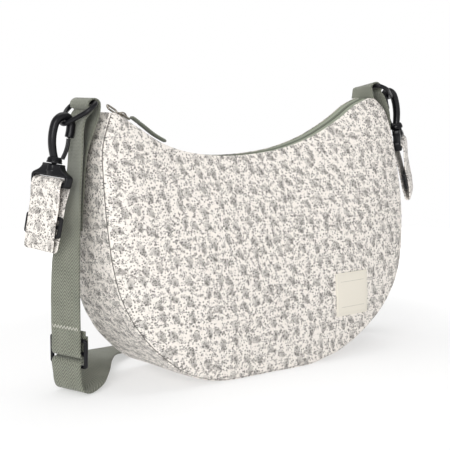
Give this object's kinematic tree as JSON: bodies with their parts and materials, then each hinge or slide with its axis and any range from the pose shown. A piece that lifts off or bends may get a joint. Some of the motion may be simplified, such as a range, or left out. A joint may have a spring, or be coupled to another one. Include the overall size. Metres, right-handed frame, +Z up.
{
  "type": "crossbody bag",
  "caption": "Half-moon cloth crossbody bag with a zip along its concave top, an adjustable webbing strap, and short printed loops on snap hooks at the corners.",
  "frame": {"origin": "on the flattened bottom of the gusset, on the floor the bag stands on", "axes": "+Z up, the front panel faces -Y, +X toward the viewer's right when looking at the front"},
  "size_m": [0.487, 0.1951, 0.2831],
  "materials": {
    "printed_cloth": "padded off-white cloth with a fine grey print",
    "zip_cloth": "woven sage tape",
    "zip_teeth": "sage coil teeth",
    "zip_metal": "dark nickel",
    "pull_strip": "folded sage strip",
    "label_cloth": "smooth cream patch",
    "webbing": "sage herringbone webbing",
    "black_plastic": "satin moulded plastic"
  },
  "bodies": {
    "bag": {"front_panel": "printed_cloth", "back_panel": "printed_cloth", "gusset": "printed_cloth", "zip_tape_front": "zip_cloth", "zip_tape_back": "zip_cloth", "zip_coil": "zip_teeth", "zip_slider": "zip_metal", "zip_ring": "zip_metal", "zip_pull": "pull_strip", "label_patch": "label_cloth", "strap_left": "webbing", "strap_long": "webbing", "strap_slider": "black_plastic", "ring_left": "black_plastic", "ring_right": "black_plastic", "hook_left": "black_plastic", "hook_right": "black_plastic"},
    "gate_left": {"hook_gate_left": "black_plastic"},
    "gate_right": {"hook_gate_right": "black_plastic"},
    "swivel_left": {"swivel_base_left": "black_plastic", "stroller_loop_left": "printed_cloth", "loop_slider_left": "black_plastic"},
    "swivel_right": {"swivel_base_right": "black_plastic", "stroller_loop_right": "printed_cloth", "loop_slider_right": "black_plastic"}
  },
  "joints": [
    {"name": "gate_left_press", "type": "hinge", "parent": "bag", "child": "gate_left", "pos_m": [-0.20736, 0.0075, 0.21452], "axis": [-0.1045, -0.9945, 0], "range_deg": [0, 14], "stiffness_Nm_per_rad": 0.02},
    {"name": "gate_right_press", "type": "hinge", "parent": "bag", "child": "gate_right", "pos_m": [0.2031, -0.00418, 0.2344], "axis": [0, 1, 0], "range_deg": [0, 14], "stiffness_Nm_per_rad": 0.02},
    {"name": "swivel_left_turn", "type": "hinge", "parent": "bag", "child": "swivel_left", "pos_m": [-0.21621, 0.00843, 0.20647], "axis": [0.1898, -0.0199, 0.9816], "range_deg": [-20, 20]},
    {"name": "swivel_right_turn", "type": "hinge", "parent": "bag", "child": "swivel_right", "pos_m": [0.2128, -0.00418, 0.22733], "axis": [-0.2924, 0, 0.9563], "range_deg": [-5, 20]}
  ]
}
